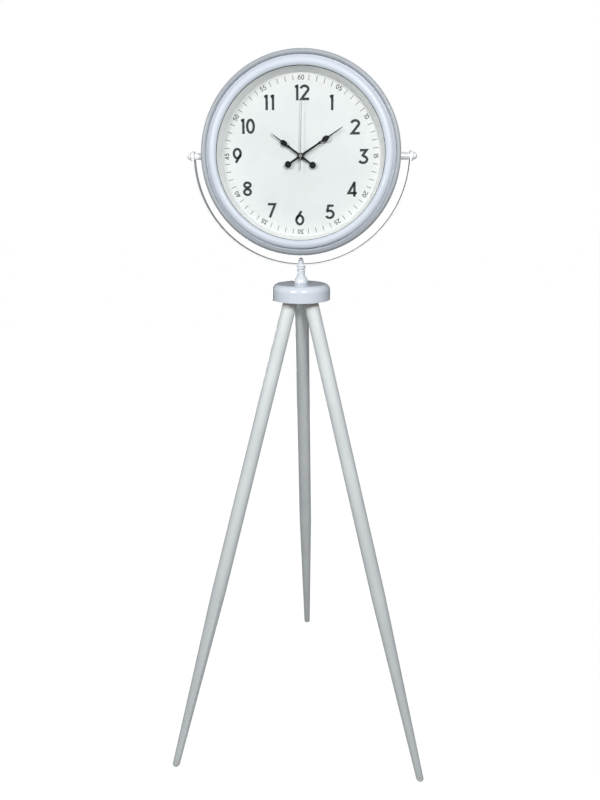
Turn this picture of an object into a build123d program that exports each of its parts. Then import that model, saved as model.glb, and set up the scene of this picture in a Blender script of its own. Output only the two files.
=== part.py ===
# Tripod floor clock: a round clock head that tilts in a half-ring yoke, which
# swivels on a turned post over a round hub with three splayed, tapered legs.
# Millimetres. +Z is up, the dial faces -Y and the feet stand on Z = 0.
# The origin is on the floor, midway between the front and rear reach of the feet.
import os
from math import cos, hypot, radians, sin, sqrt

from build123d import *

os.makedirs("parts", exist_ok=True)

# Legs
hub_underside = 1050.0
foot_circle_radius = 317.0
leg_top_offset = 24.5
leg_radius = 15.5
foot_radius = 7.9
taper_length = 415.0
foot_edge_radius = 2.5
leg_names = ("leg_rear", "leg_left", "leg_right")
leg_azimuths = {name: 90 + 360 / len(leg_names) * place for place, name in enumerate(leg_names)}

# Leg fastenings
leg_bolt_radius = 4.0
leg_bolt_in_leg = 38.0
leg_bolt_in_hub = 22.0
insert_radius = 6.0
insert_length = 18.0
insert_sink = 4.0

# Hub
hub_radius = 63.2
hub_height = 34.0
hub_wall = 1.5
hub_edge_radius = 13.4
stud_radius = 3.0
stud_nut_across = 10.0
stud_nut_height = 5.0
stud_washer_radius = 8.5
stud_washer_height = 1.2
stud_recess_depth = 13.0
stud_recess_clearance = 0.5

# Post, swivel washer and collar
post_height = 29.2
post_foot_radius = 13.2
post_bell_radius = 15.0
post_bell_height = 3.6
post_waist_radius = 9.5
post_waist_height = 16.5
post_neck_radius = 8.5
post_bead_radius = 9.0
post_bead_height = 2.4
swivel_washer_radius = 7.2
swivel_washer_height = 1.7
collar_radius = 9.5
collar_height = 8.6
collar_edge_radius = 1.2
acorn_washer_radius = 6.6
acorn_washer_height = 1.2
acorn_across = 10.0
acorn_hex_height = 6.0
acorn_dome_radius = 4.6
acorn_wall = 1.6

# Yoke strap and pivots
strap_thickness = 3.0
strap_width = 22.0
strap_end_radius = 10.9
pivot_radius = 2.5
spacer_radius = 7.5
spacer_length = 23.7
spacer_edge_radius = 0.8
knob_flange_radius = 10.4
knob_flange_height = 3.4
knob_neck_radius = 5.6
knob_neck_height = 1.6
knob_dome_radius = 7.3
pivot_nut_radius = 8.0
pivot_nut_length = 7.5

# Case: radii, then how far things stand in front of the pivot plane
case_radius = 200.0
case_wall = 1.2
case_back_depth = 26.0
back_flange_width = 14.0
rim_tube_radius = 5.0
rim_overhang = 3.0
rim_set_back = 1.0
seat_step = 4.4
shelf_width = 10.0
bezel_width = 16.8
bezel_inner_height = 2.8
bezel_outer_height = 2.4
bezel_crest_height = 6.8
bezel_crest_share = 0.5
gasket_lip = 0.8
gasket_thickness = 1.0
lens_thickness = 2.5
reflector_length = 26.0
reflector_wall = 1.2
reflector_slope = 7.0
dial_front = 4.0
dial_thickness = 1.0

# Back cover
cover_thickness = 1.2
cover_margin = 2.0
cover_hole_radius = 48.0
cover_lip_height = 4.0
cover_screw_count = 6
cover_screw_radius = 1.5
cover_screw_head_radius = 3.2
cover_screw_head_height = 1.8
cover_screw_length = 6.0

# Movement box
movement_size = 56.0
movement_depth = 15.0
movement_wall = 1.2
movement_corner_radius = 3.0
rubber_washer_radius = 12.0
rubber_washer_height = 0.8
brass_washer_radius = 8.0
brass_washer_height = 0.6
mounting_nut_across = 11.0
mounting_nut_height = 2.0
bush_radius = 4.0
bush_length = 5.0
battery_radius = 7.1
battery_length = 49.5
battery_nub_radius = 2.7
battery_nub_height = 1.1
bay_height = 15.6
bay_rib = 1.0
contact_thickness = 0.4
contact_width = 7.0
contact_reach = 5.4
board_width = 13.0
board_height = 30.0
board_thickness = 0.8
coil_radius = 3.3
coil_length = 22.0
coil_core_radius = 1.0
coil_core_length = 28.0
coil_height = 22.3
stator_thickness = 0.8
rotor_hole_radius = 3.5
rotor_magnet_radius = 3.0
rotor_magnet_length = 2.4
post_pin_radius = 1.2
pin_inset = 1.6
plate_width = 32.0
plate_height = 27.0
plate_middle = 3.5

# Hands and the tubes that carry them
seconds_pin_radius = 0.65
minute_tube_radius = 1.72
minute_tube_bore = 0.74
hour_tube_radius = 2.5
hour_tube_bore = 1.8
hand_thickness = 0.8
hand_collet_height = 1.4
hand_spacing = 2.8
hand_stem_width = 4.9
hand_waist_width = 3.0
hand_tip_width = 1.2
hand_tail_length = 31.0
hand_tail_disc_radius = 6.8
minute_hand_length = 102.0
minute_leaf_at = 61.0
minute_bead_at = 47.0
minute_hand_angle = 56.5
hour_hand_length = 75.5
hour_leaf_at = 43.0
hour_bead_at = 31.0
hour_hand_angle = 306.5
leaf_half_length = 8.8
leaf_half_width = 5.6
bead_half_length = 3.4
bead_half_width = 2.9
second_hand_length = 115.5
second_tail_length = 28.8
second_hand_width = 1.7
second_hand_angle = 1.0
second_cap_radius = 3.4
hand_hub_radius = 6.4

# Wheels of the movement
wheel_thickness = 0.8
layer_pitch = 1.4
arbor_radius = 0.5
tooth_share = 0.34
tooth_tip_share = 0.35
addendum_share = 0.7
dedendum_share = 1.15
setting_module = 0.5
third_module = 0.3
seconds_module = 0.31
minute_pinion_teeth = 12
motion_wheel_teeth = 36
motion_pinion_teeth = 10
hour_wheel_teeth = 40
knob_pinion_teeth = 14
third_pinion_teeth = 8
centre_wheel_teeth = 60
seconds_pinion_teeth = 8
third_wheel_teeth = 64
seconds_wheel_teeth = 60
intermediate_pinion_teeth = 10
intermediate_wheel_teeth = 50
rotor_pinion_teeth = 10
third_direction = 45.0
motion_direction = 160.0
knob_direction = 215.0
intermediate_direction = 120.0
rotor_direction = 150.0
time_knob_radius = 4.5
time_knob_height = 3.6
time_knob_stem_radius = 1.2
time_knob_grooves = 18

# Clearances
running_fit = 0.08
thread_fit = 0.05
face_gap = 0.1
seat_gap = 0.3
hole_fit = 0.1


# Places worked out from the sizes
rear_reach = foot_circle_radius + foot_radius
front_reach = foot_circle_radius * cos(radians(60)) + foot_radius
mast_y = (front_reach - rear_reach) / 2
hub_top = hub_underside + hub_height
post_top = hub_top + post_height
collar_bottom = post_top + swivel_washer_height
collar_top = collar_bottom + collar_height
strap_top = collar_top + strap_thickness
yoke_inner_radius = case_radius + spacer_length
yoke_outer_radius = yoke_inner_radius + strap_thickness
pivot_height = collar_top + yoke_outer_radius

mast = Plane(origin=(0, mast_y, 0))
mast_section = Plane(origin=(0, mast_y, 0), x_dir=(1, 0, 0), z_dir=(0, -1, 0))
mast_axis = Axis((0, mast_y, 0), (0, 0, 1))
head_face = Plane(origin=(0, mast_y, pivot_height), x_dir=(1, 0, 0), z_dir=(0, -1, 0))
head_section = Plane(origin=(0, mast_y, pivot_height), x_dir=(1, 0, 0), z_dir=(0, 0, -1))
head_axis = Axis((0, mast_y, pivot_height), (0, -1, 0))
pivot_axis = Axis((0, mast_y, pivot_height), (1, 0, 0))


def save(piece, label):
    """Name a finished piece and write its STEP file."""
    piece.label = label
    export_step(piece, "parts/" + label + ".step")


def outline(points):
    """A closed straight-sided face through the points, in the sketch being drawn."""
    with BuildLine(Plane.XY) as border:
        Polyline(*points, close=True)
    make_face(border.edges())


# Legs


def leg_plane(azimuth):
    """Plane through a leg's axis: local X across the leg, local Y up along it."""
    outward = Vector(cos(radians(azimuth)), sin(radians(azimuth)), 0)
    across = Vector(-outward.Y, outward.X, 0)
    foot = Vector(0, mast_y, 0) + outward * foot_circle_radius
    top = Vector(0, mast_y, hub_underside) + outward * leg_top_offset
    along = (top - foot).normalized()
    return Plane(origin=foot, x_dir=across, z_dir=across.cross(along))


leg_length = hypot(foot_circle_radius - leg_top_offset, hub_underside)
leg_overrun = 2 * leg_radius
overrun_radius = foot_radius - (leg_radius - foot_radius) * leg_overrun / taper_length

for leg_name, azimuth in leg_azimuths.items():
    with BuildPart() as leg:
        with BuildSketch(leg_plane(azimuth)):
            with BuildLine():
                base_corner = (overrun_radius, -leg_overrun)
                Line((0, -leg_overrun), base_corner)
                Line(base_corner, (leg_radius, taper_length))
                Line((leg_radius, taper_length), (leg_radius, leg_length + leg_overrun))
                Line((leg_radius, leg_length + leg_overrun), (0, leg_length + leg_overrun))
                Line((0, leg_length + leg_overrun), (0, -leg_overrun))
            make_face()
        section = leg_plane(azimuth)
        revolve(axis=Axis(section.origin, section.y_dir))
        split(bisect_by=Plane.XY, keep=Keep.TOP)
        split(bisect_by=Plane.XY.offset(hub_underside), keep=Keep.BOTTOM)
        foot_rim = leg.faces().sort_by(Axis.Z)[0].edges()
        fillet(foot_rim, foot_edge_radius)
        bolt_hole_start = leg_length - leg_bolt_in_leg - seat_gap
        hole_plane = Plane(
            origin=section.from_local_coords(Vector(0, bolt_hole_start, 0)),
            z_dir=section.y_dir,
        )
        with BuildSketch(hole_plane):
            Circle(leg_bolt_radius + thread_fit)
        extrude(amount=leg_bolt_in_leg + leg_overrun, mode=Mode.SUBTRACT)
    save(leg.part, leg_name)


def leg_station(azimuth, distance):
    """Plane square to a leg's axis, at a distance past the leg's top."""
    section = leg_plane(azimuth)
    return Plane(
        origin=section.from_local_coords(Vector(0, leg_length + distance, 0)),
        z_dir=section.y_dir,
    )


with BuildPart() as leg_bolts:
    for azimuth in leg_azimuths.values():
        with BuildSketch(leg_station(azimuth, -leg_bolt_in_leg)):
            Circle(leg_bolt_radius)
        extrude(amount=leg_bolt_in_leg + leg_bolt_in_hub)
save(leg_bolts.part, "leg_bolts")

with BuildPart() as leg_inserts:
    for azimuth in leg_azimuths.values():
        with BuildSketch(leg_station(azimuth, insert_sink)):
            Circle(insert_radius)
            Circle(leg_bolt_radius + thread_fit, mode=Mode.SUBTRACT)
        extrude(amount=insert_length)
save(leg_inserts.part, "leg_inserts")

# Hub

with BuildPart() as hub_cap:
    with BuildSketch(mast.offset(hub_underside)):
        Circle(hub_radius)
    extrude(amount=hub_height)
    fillet(hub_cap.faces().sort_by(Axis.Z)[-1].edges(), hub_edge_radius)
    offset(amount=-hub_wall, openings=hub_cap.faces().sort_by(Axis.Z)[0])
    with BuildSketch(mast.offset(hub_underside)):
        Circle(stud_radius + hole_fit)
    extrude(amount=hub_height, mode=Mode.SUBTRACT)
save(hub_cap.part, "hub_cap")

core_height = hub_height - hub_wall - hole_fit
with BuildPart() as hub_core:
    with BuildSketch(mast.offset(hub_underside)):
        Circle(hub_radius - hub_wall - hole_fit)
    extrude(amount=core_height)
    fillet(hub_core.faces().sort_by(Axis.Z)[-1].edges(), hub_edge_radius - hub_wall)
    with BuildSketch(mast.offset(hub_underside)):
        Circle(stud_radius + hole_fit)
    extrude(amount=core_height, mode=Mode.SUBTRACT)
    with BuildSketch(mast.offset(hub_underside)):
        Circle(stud_washer_radius + stud_recess_clearance)
    extrude(amount=stud_recess_depth, mode=Mode.SUBTRACT)
    for azimuth in leg_azimuths.values():
        with BuildSketch(leg_station(azimuth, -leg_radius)):
            Circle(insert_radius + thread_fit)
        extrude(amount=leg_radius + insert_sink + insert_length + seat_gap, mode=Mode.SUBTRACT)
save(hub_core.part, "hub_core")


def washer(label, height, outer_radius, bore_radius, thickness):
    """A flat ring on the mast, its underside at a height."""
    with BuildPart() as ring:
        with BuildSketch(mast.offset(height)):
            Circle(outer_radius)
            Circle(bore_radius, mode=Mode.SUBTRACT)
        extrude(amount=thickness)
    save(ring.part, label)


stud_washer_bottom = hub_underside + stud_recess_depth - stud_washer_height
stud_nut_bottom = stud_washer_bottom - stud_nut_height
stud_hole = stud_radius + hole_fit
swivel_washer_thickness = swivel_washer_height - face_gap
washer("stud_washer", stud_washer_bottom, stud_washer_radius, stud_hole, stud_washer_height)
washer("swivel_washer", post_top, swivel_washer_radius, stud_hole, swivel_washer_thickness)
washer("acorn_washer", strap_top + face_gap, acorn_washer_radius, stud_hole, acorn_washer_height)

with BuildPart() as stud_nut:
    with BuildSketch(mast.offset(stud_nut_bottom)):
        RegularPolygon(stud_nut_across / 2, 6, major_radius=False)
        Circle(stud_radius + thread_fit, mode=Mode.SUBTRACT)
    extrude(amount=stud_nut_height)
save(stud_nut.part, "stud_nut")

acorn_bottom = strap_top + face_gap + acorn_washer_height
stud_bottom = stud_nut_bottom - stud_radius / 2
stud_top = acorn_bottom + acorn_hex_height
with BuildPart() as mast_stud:
    with BuildSketch(mast.offset(stud_bottom)):
        Circle(stud_radius)
    extrude(amount=stud_top - stud_bottom)
save(mast_stud.part, "mast_stud")

with BuildPart() as acorn_nut:
    with BuildSketch(mast.offset(acorn_bottom)):
        RegularPolygon(acorn_across / 2, 6, major_radius=False)
    extrude(amount=acorn_hex_height)
    with BuildSketch(mast_section):
        with BuildLine():
            dome_base = acorn_bottom + acorn_hex_height
            dome_top = dome_base + acorn_dome_radius + acorn_wall
            dome_shoulder = dome_base + acorn_wall
            Line((0, dome_base), (acorn_dome_radius, dome_base))
            Line((acorn_dome_radius, dome_base), (acorn_dome_radius, dome_shoulder))
            RadiusArc((acorn_dome_radius, dome_shoulder), (0, dome_top), -acorn_dome_radius)
            Line((0, dome_top), (0, dome_base))
        make_face()
    revolve(axis=mast_axis)
    with BuildSketch(mast.offset(acorn_bottom)):
        Circle(stud_radius + thread_fit)
    extrude(amount=acorn_hex_height + seat_gap, mode=Mode.SUBTRACT)
save(acorn_nut.part, "acorn_nut")

# Post: a bell foot drawn in to a neck with a small bead at its top

with BuildPart() as post:
    with BuildSketch(mast_section):
        with BuildLine():
            bore = stud_radius + hole_fit
            foot_point = (post_foot_radius, hub_top)
            bell_point = (post_bell_radius, hub_top + post_bell_height)
            waist_point = (post_waist_radius, hub_top + post_waist_height)
            neck_point = (post_neck_radius, post_top - 2 * post_bead_height)
            bead_bottom = (post_neck_radius, post_top - post_bead_height)
            bead_top = (post_neck_radius, post_top)
            Line((bore, hub_top), foot_point)
            Spline(foot_point, bell_point, waist_point, neck_point, tangents=((1, 1), (0, 1)))
            Line(neck_point, bead_bottom)
            bead_middle = (post_bead_radius, post_top - post_bead_height / 2)
            ThreePointArc(bead_bottom, bead_middle, bead_top)
            Line(bead_top, (bore, post_top))
            Line((bore, post_top), (bore, hub_top))
        make_face()
    revolve(axis=mast_axis)
save(post.part, "post")

# Yoke

with BuildPart() as yoke_collar:
    with BuildSketch(mast.offset(collar_bottom)):
        Circle(collar_radius)
        Circle(stud_radius + running_fit, mode=Mode.SUBTRACT)
    extrude(amount=collar_height)
    rims = yoke_collar.edges().filter_by(GeomType.CIRCLE).sort_by(SortBy.RADIUS)[-2:]
    fillet(rims, collar_edge_radius)
save(yoke_collar.part, "yoke_collar")

with BuildPart() as yoke_strap:
    with BuildSketch(head_face.offset(-strap_width / 2)):
        Circle(yoke_outer_radius)
        Circle(yoke_inner_radius, mode=Mode.SUBTRACT)
        with Locations((0, yoke_outer_radius)):
            Rectangle(2 * yoke_outer_radius, 2 * yoke_outer_radius, mode=Mode.SUBTRACT)
        ear_middle = (yoke_inner_radius + yoke_outer_radius) / 2
        with Locations((ear_middle, strap_width / 4), (-ear_middle, strap_width / 4)):
            Rectangle(strap_thickness, strap_width / 2)
    extrude(amount=strap_width)
    ear_corners = yoke_strap.edges().filter_by(Axis.X).group_by(Axis.Z)[-1]
    fillet(ear_corners, min(strap_end_radius, strap_width / 2 - hole_fit))
    with BuildSketch(Plane.YZ.offset(-yoke_outer_radius)):
        with Locations((mast_y, pivot_height)):
            Circle(pivot_radius + running_fit)
    extrude(amount=2 * yoke_outer_radius, mode=Mode.SUBTRACT)
    with BuildSketch(mast.offset(collar_top - strap_thickness)):
        Circle(stud_radius + running_fit)
    extrude(amount=3 * strap_thickness, mode=Mode.SUBTRACT)
save(yoke_strap.part, "yoke_strap")

# Pivots: spacer tubes, clamp knobs and the nuts inside the case wall

case_inner_radius = case_radius - case_wall
pivot_nut_face = sqrt(case_inner_radius**2 - pivot_nut_radius**2) - face_gap
shank_end = pivot_nut_face - pivot_nut_length
spacer_end = yoke_inner_radius - face_gap
knob_start = yoke_outer_radius + face_gap
knob_neck_start = knob_start + knob_flange_height
knob_dome_start = knob_neck_start + knob_neck_height


def pivot_profile(side, stations):
    """Closed profile beside the pivot axis: (distance from the middle, radius) corners."""
    outline([(side * distance, radius) for distance, radius in stations])


lip = spacer_edge_radius
flange_edge = knob_flange_radius - lip
for side, side_name in ((-1, "left"), (1, "right")):
    with BuildPart() as spacer:
        with BuildSketch(head_face):
            bore = pivot_radius + hole_fit
            pivot_profile(
                side,
                [
                    (case_radius, bore),
                    (case_radius, spacer_radius),
                    (spacer_end - lip, spacer_radius),
                    (spacer_end, spacer_radius - lip),
                    (spacer_end, bore),
                ],
            )
        revolve(axis=pivot_axis)
    save(spacer.part, "spacer_" + side_name)

    with BuildPart() as tilt_knob:
        with BuildSketch(head_face):
            with BuildLine():
                dome_end = knob_dome_start + knob_dome_radius
                flange_middle = (side * (knob_start + knob_flange_height / 2), knob_flange_radius)
                Polyline(
                    (side * shank_end, 0),
                    (side * shank_end, pivot_radius),
                    (side * knob_start, pivot_radius),
                    (side * knob_start, flange_edge),
                )
                ThreePointArc(
                    (side * knob_start, flange_edge),
                    flange_middle,
                    (side * knob_neck_start, flange_edge),
                )
                Polyline(
                    (side * knob_neck_start, flange_edge),
                    (side * knob_neck_start, knob_neck_radius),
                    (side * knob_dome_start, knob_neck_radius),
                    (side * knob_dome_start, knob_dome_radius),
                )
                RadiusArc(
                    (side * knob_dome_start, knob_dome_radius),
                    (side * dome_end, 0),
                    side * knob_dome_radius,
                )
                Line((side * dome_end, 0), (side * shank_end, 0))
            make_face()
        revolve(axis=pivot_axis)
    save(tilt_knob.part, "tilt_knob_" + side_name)

with BuildPart() as pivot_nuts:
    for side in (-1, 1):
        with BuildSketch(head_face):
            bore = pivot_radius + thread_fit
            pivot_profile(
                side,
                [
                    (pivot_nut_face, bore),
                    (pivot_nut_face, pivot_nut_radius),
                    (shank_end, pivot_nut_radius),
                    (shank_end, bore),
                ],
            )
        revolve(axis=pivot_axis)
save(pivot_nuts.part, "pivot_nuts")

# Case and what sits in its front

dial_back = dial_front - dial_thickness
lens_back = dial_front + reflector_length
lens_front = lens_back + lens_thickness
bezel_back = lens_front + gasket_thickness
rim_centre_depth = lens_front - rim_set_back
rim_centre_radius = case_radius + rim_overhang - rim_tube_radius
rim_inner_radius = rim_centre_radius - rim_tube_radius
seat_radius = rim_inner_radius - seat_step
shelf_radius = seat_radius - shelf_width
bezel_outer_radius = seat_radius - seat_gap
bezel_inner_radius = bezel_outer_radius - bezel_width
case_back = -case_back_depth

with BuildPart() as case_shell:
    with BuildSketch(head_section):
        with BuildLine():
            Polyline(
                (case_radius, case_back),
                (case_radius, rim_centre_depth - rim_tube_radius),
                (case_radius + rim_overhang, rim_centre_depth),
            )
            ThreePointArc(
                (case_radius + rim_overhang, rim_centre_depth),
                (rim_centre_radius, rim_centre_depth + rim_tube_radius),
                (rim_inner_radius, rim_centre_depth),
            )
            Polyline(
                (rim_inner_radius, rim_centre_depth),
                (rim_inner_radius, lens_back),
                (seat_radius, lens_back),
                (seat_radius, dial_back),
                (shelf_radius, dial_back),
                (shelf_radius, dial_back - case_wall),
                (seat_radius + case_wall, dial_back - case_wall),
                (seat_radius + case_wall, lens_back - case_wall),
                (rim_inner_radius + case_wall, lens_back - case_wall),
                (rim_inner_radius + case_wall, rim_centre_depth),
            )
            ThreePointArc(
                (rim_inner_radius + case_wall, rim_centre_depth),
                (rim_centre_radius, rim_centre_depth + rim_tube_radius - case_wall),
                (case_radius + rim_overhang - case_wall, rim_centre_depth),
            )
            Polyline(
                (case_radius + rim_overhang - case_wall, rim_centre_depth),
                (case_inner_radius, rim_centre_depth - rim_tube_radius),
                (case_inner_radius, case_back + case_wall),
                (case_radius - back_flange_width, case_back + case_wall),
                (case_radius - back_flange_width, case_back),
                (case_radius, case_back),
            )
        make_face()
    revolve(axis=head_axis)
    with BuildSketch(Plane.YZ.offset(-case_radius - case_wall)):
        with Locations((mast_y, pivot_height)):
            Circle(pivot_radius + hole_fit)
    extrude(amount=2 * case_wall + seat_gap, mode=Mode.SUBTRACT)
    with BuildSketch(Plane.YZ.offset(case_inner_radius - seat_gap)):
        with Locations((mast_y, pivot_height)):
            Circle(pivot_radius + hole_fit)
    extrude(amount=2 * case_wall + seat_gap, mode=Mode.SUBTRACT)
    screw_circle_radius = case_radius - back_flange_width / 2
    with BuildSketch(head_face.offset(case_back)):
        with PolarLocations(screw_circle_radius, cover_screw_count):
            Circle(cover_screw_radius + thread_fit)
    extrude(amount=case_wall, mode=Mode.SUBTRACT)
save(case_shell.part, "case_shell")

with BuildPart() as bezel_ring:
    with BuildSketch(head_section):
        with BuildLine():
            crest_radius = bezel_inner_radius + bezel_width * bezel_crest_share
            inner_edge = (bezel_inner_radius, bezel_back + bezel_inner_height)
            crest = (crest_radius, bezel_back + bezel_crest_height)
            outer_edge = (bezel_outer_radius, bezel_back + bezel_outer_height)
            ThreePointArc(inner_edge, crest, outer_edge)
            Polyline(
                outer_edge,
                (bezel_outer_radius, bezel_back),
                (bezel_inner_radius, bezel_back),
                inner_edge,
            )
        make_face()
    revolve(axis=head_axis)
save(bezel_ring.part, "bezel_ring")


def disc_ring(label, outer_radius, inner_radius, back, thickness):
    """A flat ring or disc of the head, its back at a depth."""
    with BuildPart() as ring:
        with BuildSketch(head_face.offset(back)):
            Circle(outer_radius)
            if inner_radius:
                Circle(inner_radius, mode=Mode.SUBTRACT)
        extrude(amount=thickness)
    save(ring.part, label)


lens_radius = seat_radius - seat_gap
disc_ring("lens_gasket", lens_radius, bezel_inner_radius - gasket_lip, lens_front, gasket_thickness)
disc_ring("glass_lens", lens_radius, 0, lens_back, lens_thickness)
disc_ring("dial_plate", lens_radius, bush_radius + hole_fit, dial_back, dial_thickness)

with BuildPart() as reflector_ring:
    with BuildSketch(head_section):
        wall = reflector_wall
        wide_end = bezel_inner_radius
        narrow_end = bezel_inner_radius - reflector_slope
        outline(
            [
                (narrow_end, dial_front),
                (wide_end, lens_back),
                (lens_radius, lens_back),
                (lens_radius, lens_back - wall),
                (wide_end + wall, lens_back - wall),
                (narrow_end + wall, dial_front + wall),
                (lens_radius, dial_front + wall),
                (lens_radius, dial_front),
            ]
        )
    revolve(axis=head_axis)
save(reflector_ring.part, "reflector_ring")

cover_radius = case_radius - cover_margin
with BuildPart() as back_cover:
    with BuildSketch(head_section):
        lip_depth = case_back + cover_lip_height
        outline(
            [
                (cover_hole_radius, case_back - cover_thickness),
                (cover_radius, case_back - cover_thickness),
                (cover_radius, case_back),
                (cover_hole_radius + cover_thickness, case_back),
                (cover_hole_radius + cover_thickness, lip_depth),
                (cover_hole_radius, lip_depth),
            ]
        )
    revolve(axis=head_axis)
    with BuildSketch(head_face.offset(case_back - cover_thickness)):
        with PolarLocations(screw_circle_radius, cover_screw_count):
            Circle(cover_screw_radius + hole_fit)
    extrude(amount=cover_thickness, mode=Mode.SUBTRACT)
save(back_cover.part, "back_cover")

cover_back = case_back - cover_thickness
with BuildPart() as back_cover_screws:
    with BuildSketch(head_face.offset(cover_back)):
        with PolarLocations(screw_circle_radius, cover_screw_count):
            Circle(cover_screw_radius)
    extrude(amount=cover_screw_length)
    with BuildSketch(head_face.offset(cover_back)):
        with PolarLocations(screw_circle_radius, cover_screw_count):
            Circle(cover_screw_head_radius)
    extrude(amount=-cover_screw_head_height)
    head_rims = back_cover_screws.edges().filter_by(GeomType.CIRCLE).group_by(Axis.Y)[-1]
    fillet(head_rims, cover_screw_head_height / 2)
save(back_cover_screws.part, "back_cover_screws")

# Movement box, its bay and its fastening to the dial

movement_front = dial_back - rubber_washer_height
movement_back = movement_front - movement_depth
room_front = movement_front - movement_wall
room_back = movement_back + movement_wall
half_size = movement_size / 2
half_room = half_size - movement_wall
room_corner_radius = movement_corner_radius - movement_wall
bay_bottom = -half_room
bay_top = bay_bottom + bay_height
bush_front = movement_front + bush_length
brass_washer_back = dial_front
mounting_nut_back = brass_washer_back + brass_washer_height

disc_ring(
    "rubber_washer", rubber_washer_radius, bush_radius + hole_fit, movement_front, rubber_washer_height
)
disc_ring("brass_washer", brass_washer_radius, bush_radius + hole_fit, brass_washer_back, brass_washer_height)

with BuildPart() as mounting_nut:
    with BuildSketch(head_face.offset(mounting_nut_back)):
        RegularPolygon(mounting_nut_across / 2, 6, major_radius=False)
        Circle(bush_radius + thread_fit, mode=Mode.SUBTRACT)
    extrude(amount=mounting_nut_height)
save(mounting_nut.part, "mounting_nut")

# Wheel centres on the movement's face, and the layers they turn in


def polar_point(start, distance, direction):
    """The point at a distance and direction (degrees) from a start point."""
    return (
        start[0] + distance * cos(radians(direction)),
        start[1] + distance * sin(radians(direction)),
    )


def centre_distance(module, teeth, other_teeth):
    """Distance between the centres of two meshing wheels."""
    return module * (teeth + other_teeth) / 2


def meshing_phase(teeth, phase, direction, other_teeth):
    """Where the other wheel's first tooth points, so that its gap meets this wheel's tooth."""
    passed = (direction - phase) * teeth / 360
    return direction + 180 - (0.5 - passed) * 360 / other_teeth


# A wheel's module is set so that both pairs between two arbors keep one centre distance
motion_distance = centre_distance(setting_module, minute_pinion_teeth, motion_wheel_teeth)
hour_pair_module = 2 * motion_distance / (motion_pinion_teeth + hour_wheel_teeth)
third_distance = centre_distance(third_module, seconds_pinion_teeth, third_wheel_teeth)
centre_pair_module = 2 * third_distance / (third_pinion_teeth + centre_wheel_teeth)
knob_distance = centre_distance(setting_module, motion_wheel_teeth, knob_pinion_teeth)
intermediate_distance = centre_distance(seconds_module, seconds_wheel_teeth, intermediate_pinion_teeth)
rotor_distance = centre_distance(seconds_module, intermediate_wheel_teeth, rotor_pinion_teeth)

middle = (0, 0)
motion_centre = polar_point(middle, motion_distance, motion_direction)
knob_centre = polar_point(motion_centre, knob_distance, knob_direction)
third_centre = polar_point(middle, third_distance, third_direction)
intermediate_centre = polar_point(middle, intermediate_distance, intermediate_direction)
rotor_centre = polar_point(intermediate_centre, rotor_distance, rotor_direction)

hour_layer = room_front - layer_pitch
motion_layer = hour_layer - layer_pitch
plate_layer = motion_layer - layer_pitch
centre_layer = plate_layer - layer_pitch
third_layer = centre_layer - layer_pitch
seconds_layer = third_layer - layer_pitch
intermediate_layer = seconds_layer - layer_pitch
pivot_depth = movement_wall / 2

with BuildPart() as movement_case:
    with BuildSketch(head_face.offset(room_back)):
        RectangleRounded(movement_size, movement_size, movement_corner_radius)
    extrude(amount=movement_front - room_back)
    with BuildSketch(head_face.offset(room_back)):
        RectangleRounded(2 * half_room, 2 * half_room, room_corner_radius)
    extrude(amount=room_front - room_back, mode=Mode.SUBTRACT)
    with BuildSketch(head_face.offset(room_back)):
        with Locations((0, bay_top + bay_rib / 2)):
            Rectangle(2 * half_room, bay_rib)
    extrude(amount=room_front - room_back)
    with BuildSketch(head_face.offset(plate_layer + wheel_thickness)):
        with Locations((0, plate_middle)):
            with GridLocations(plate_width - 2 * pin_inset, plate_height - 2 * pin_inset, 2, 2):
                Circle(post_pin_radius)
    extrude(amount=room_front - plate_layer - wheel_thickness)
    with BuildSketch(head_face.offset(room_front)):
        Circle(bush_radius)
    extrude(amount=bush_front - room_front)
    with BuildSketch(head_face.offset(room_front)):
        Circle(hour_tube_radius + running_fit)
    extrude(amount=bush_front - room_front, mode=Mode.SUBTRACT)
    with BuildSketch(head_face.offset(room_front)):
        with Locations(motion_centre):
            Circle(arbor_radius + running_fit)
        with Locations(knob_centre):
            Circle(time_knob_stem_radius + running_fit)
    extrude(amount=pivot_depth, mode=Mode.SUBTRACT)
save(movement_case.part, "movement_case")

with BuildPart() as movement_cover:
    with BuildSketch(head_face.offset(movement_back)):
        RectangleRounded(movement_size, movement_size, movement_corner_radius)
        with Locations((0, (bay_bottom + bay_top) / 2)):
            Rectangle(2 * half_room, bay_height, mode=Mode.SUBTRACT)
        with Locations(knob_centre):
            Circle(time_knob_stem_radius + running_fit, mode=Mode.SUBTRACT)
    extrude(amount=movement_wall - face_gap / 2)
    with BuildSketch(head_face.offset(movement_back + movement_wall - pivot_depth)):
        with Locations(middle):
            Circle(seconds_pin_radius + running_fit)
        with Locations(third_centre, intermediate_centre, rotor_centre):
            Circle(arbor_radius + running_fit)
    extrude(amount=pivot_depth, mode=Mode.SUBTRACT)
save(movement_cover.part, "movement_cover")

with BuildPart() as gear_plate:
    with BuildSketch(head_face.offset(plate_layer)):
        with Locations((0, plate_middle)):
            Rectangle(plate_width, plate_height)
        Circle(minute_tube_radius + running_fit, mode=Mode.SUBTRACT)
        with Locations(third_centre, intermediate_centre, rotor_centre, motion_centre):
            Circle(arbor_radius + running_fit, mode=Mode.SUBTRACT)
    extrude(amount=wheel_thickness - face_gap / 2)
save(gear_plate.part, "gear_plate")

board_x = half_room - board_width / 2 - room_corner_radius
board_y = half_room - board_height / 2 - room_corner_radius
with BuildPart() as circuit_board:
    with BuildSketch(head_face.offset(room_back + face_gap)):
        with Locations((board_x, board_y)):
            Rectangle(board_width, board_height)
    extrude(amount=board_thickness)
save(circuit_board.part, "circuit_board")

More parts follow.
